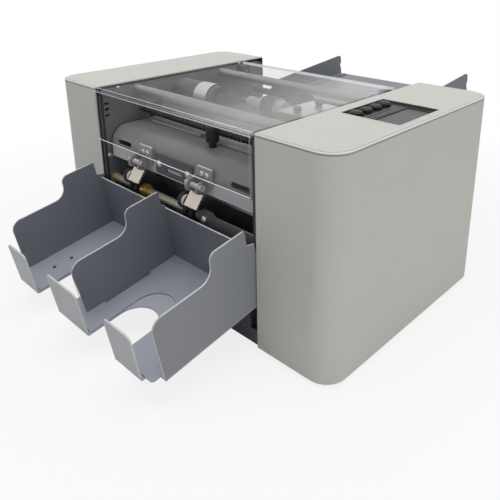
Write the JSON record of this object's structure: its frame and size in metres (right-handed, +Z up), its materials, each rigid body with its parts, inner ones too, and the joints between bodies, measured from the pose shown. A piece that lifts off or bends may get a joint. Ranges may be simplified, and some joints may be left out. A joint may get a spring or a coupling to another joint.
{
  "type": "business card cutter",
  "caption": "Desk machine that slits and cross-cuts printed sheets into business cards, with a clear lid, a rear feed tray and a sloping card tray.",
  "frame": {"origin": "on the ground, under the middle of the overall length and width", "axes": "+X to the operator's right, +Y from the card tray to the rear feed tray, +Z up"},
  "size_m": [0.385, 0.5044, 0.1972],
  "materials": {
    "cover_paint": "satin light warm grey paint, fine texture",
    "tray_paint": "satin dark blue-grey paint",
    "frame_paint": "satin mid grey paint",
    "dark_paint": "satin near-black paint",
    "steel": "ground steel",
    "bright_steel": "polished, nickel plated",
    "aluminium": "mill finish",
    "brass": "turned",
    "rubber": "matt",
    "clear_acrylic": "clear polished sheet",
    "black_plastic": "fine matt",
    "white_plastic": "smooth matt",
    "panel_plastic": "dark gloss film",
    "board": "green circuit board"
  },
  "bodies": {
    "machine": {"base_pan": "dark_paint", "rubber_feet": "rubber", "side_frame_left": "frame_paint", "side_frame_right": "frame_paint", "cover_left": "cover_paint", "cover_right": "cover_paint", "machine_screws": "bright_steel", "tie_rods": "aluminium", "lid_hinge_pins": "steel", "output_tray": "tray_paint", "tray_divider": "tray_paint", "tray_stop_plate": "tray_paint", "knife_cover": "frame_paint", "knife_lid_left": "frame_paint", "knife_lid_right": "frame_paint", "knife_face_plate": "dark_paint", "pinch_brackets": "frame_paint", "pinch_pivots": "bright_steel", "pinch_springs": "steel", "shaft_support": "dark_paint", "shaft_bushes": "brass", "knife_bed": "steel", "lower_blade": "steel", "paper_table": "frame_paint", "feed_bracket": "aluminium", "drive_motor": "dark_paint", "circuit_board": "board", "power_inlet": "black_plastic", "control_panel": "panel_plastic", "rear_tray": "tray_paint", "ribbed_conduit": "black_plastic"},
    "lid": {"acrylic_lid": "clear_acrylic", "lid_hinge_blocks": "black_plastic"},
    "pinch_left": {"pinch_arm_left": "bright_steel"},
    "pinch_wheel_left": {"pinch_roller_left": "white_plastic"},
    "pinch_right": {"pinch_arm_right": "bright_steel"},
    "pinch_wheel_right": {"pinch_roller_right": "white_plastic"},
    "exit_spindle": {"exit_shaft": "steel", "exit_wheels": "rubber", "exit_collar": "brass"},
    "slitter_upper": {"slitter_shaft_upper": "steel", "slitter_blades_upper": "steel"},
    "slitter_lower": {"slitter_shaft_lower": "steel", "slitter_blades_lower": "steel"},
    "knife": {"knife_beam": "steel", "upper_blade": "steel"},
    "crank": {"knife_crankshaft": "steel"},
    "feed_spindle": {"feed_shaft": "steel", "feed_rollers": "rubber"},
    "pickup": {"pickup_roller": "rubber"},
    "key_1": {"button_1": "black_plastic"},
    "key_2": {"button_2": "black_plastic"},
    "key_3": {"button_3": "black_plastic"},
    "key_4": {"button_4": "black_plastic"},
    "rocker": {"power_switch": "black_plastic"},
    "left_guide": {"guide_left": "tray_paint"},
    "right_guide": {"guide_right": "tray_paint"},
    "front_thumb": {"thumb_screw_front": "black_plastic"},
    "rear_thumb": {"thumb_screw_rear": "black_plastic"},
    "knob": {"adjust_knob": "black_plastic"}
  },
  "joints": [
    {"name": "lid_hinge", "type": "hinge", "parent": "machine", "child": "lid", "pos_m": [0, 0.05706, 0.186], "axis": [-1, 0, 0], "range_deg": [0, 100]},
    {"name": "pinch_swing_left", "type": "hinge", "parent": "machine", "child": "pinch_left", "pos_m": [-0.044, -0.14094, 0.131], "axis": [-1, 0, 0], "range_deg": [0, 10], "stiffness_Nm_per_rad": 0.3, "springref_deg": -11.46},
    {"name": "pinch_spin_left", "type": "hinge", "parent": "pinch_left", "child": "pinch_wheel_left", "pos_m": [-0.064, -0.13694, 0.1104], "axis": [1, 0, 0], "continuous": true},
    {"name": "pinch_swing_right", "type": "hinge", "parent": "machine", "child": "pinch_right", "pos_m": [0.044, -0.14094, 0.131], "axis": [-1, 0, 0], "range_deg": [0, 10], "stiffness_Nm_per_rad": 0.3, "springref_deg": -11.46},
    {"name": "pinch_spin_right", "type": "hinge", "parent": "pinch_right", "child": "pinch_wheel_right", "pos_m": [0.024, -0.13694, 0.1104], "axis": [1, 0, 0], "continuous": true},
    {"name": "slitter_lower_spin", "type": "hinge", "parent": "machine", "child": "slitter_lower", "pos_m": [0, -0.04894, 0.0875], "axis": [1, 0, 0], "continuous": true},
    {"name": "slitter_upper_spin", "type": "hinge", "parent": "machine", "child": "slitter_upper", "pos_m": [0, -0.04894, 0.1235], "axis": [1, 0, 0], "continuous": true},
    {"name": "exit_spin", "type": "hinge", "parent": "machine", "child": "exit_spindle", "pos_m": [0, -0.12894, 0.0955], "axis": [1, 0, 0], "continuous": true},
    {"name": "feed_spin", "type": "hinge", "parent": "machine", "child": "feed_spindle", "pos_m": [0, 0.03406, 0.155], "axis": [1, 0, 0], "continuous": true},
    {"name": "pickup_spin", "type": "hinge", "parent": "machine", "child": "pickup", "pos_m": [0, 0.08106, 0.1565], "axis": [1, 0, 0], "continuous": true},
    {"name": "knife_drop", "type": "slide", "parent": "machine", "child": "knife", "axis": [0, 0, -1], "range_m": [0, 0.009]},
    {"name": "crank_turn", "type": "hinge", "parent": "machine", "child": "crank", "pos_m": [0, -0.10494, 0.068], "axis": [1, 0, 0], "range_deg": [0, 180]},
    {"name": "button_1_press", "type": "slide", "parent": "machine", "child": "key_1", "axis": [0, 0, -1], "range_m": [0, 0.0015], "stiffness_N_per_m": 300, "springref_m": -0.001},
    {"name": "button_2_press", "type": "slide", "parent": "machine", "child": "key_2", "axis": [0, 0, -1], "range_m": [0, 0.0015], "stiffness_N_per_m": 300, "springref_m": -0.001},
    {"name": "button_3_press", "type": "slide", "parent": "machine", "child": "key_3", "axis": [0, 0, -1], "range_m": [0, 0.0015], "stiffness_N_per_m": 300, "springref_m": -0.001},
    {"name": "button_4_press", "type": "slide", "parent": "machine", "child": "key_4", "axis": [0, 0, -1], "range_m": [0, 0.0015], "stiffness_N_per_m": 300, "springref_m": -0.001},
    {"name": "power_rock", "type": "hinge", "parent": "machine", "child": "rocker", "pos_m": [0.154, 0.10006, 0.0635], "axis": [1, 0, 0], "range_deg": [0, 12]},
    {"name": "guide_left_slide", "type": "slide", "parent": "machine", "child": "left_guide", "axis": [1, 0, 0], "range_m": [0, 0.05]},
    {"name": "guide_right_slide", "type": "slide", "parent": "machine", "child": "right_guide", "axis": [-1, 0, 0], "range_m": [0, 0.05]},
    {"name": "thumb_front_turn", "type": "hinge", "parent": "machine", "child": "front_thumb", "pos_m": [0.035, 0.00006, 0.168], "axis": [0, 0, 1], "range_deg": [0, 360]},
    {"name": "thumb_rear_turn", "type": "hinge", "parent": "machine", "child": "rear_thumb", "pos_m": [0.035, 0.03506, 0.168], "axis": [0, 0, 1], "range_deg": [0, 360]},
    {"name": "knob_turn", "type": "hinge", "parent": "machine", "child": "knob", "pos_m": [0.021, -0.10294, 0.16], "axis": [0, 0, 1], "range_deg": [-180, 180]}
  ],
  "couplings": [
    {"joint": "slitter_upper_spin", "follows": "slitter_lower_spin", "ratio": -1},
    {"joint": "exit_spin", "follows": "slitter_lower_spin", "ratio": 1},
    {"joint": "feed_spin", "follows": "slitter_lower_spin", "ratio": -1.48},
    {"joint": "pickup_spin", "follows": "slitter_lower_spin", "ratio": -1.4453},
    {"joint": "crank_turn", "follows": "knife_drop", "rad_per_m": 349.06}
  ]
}
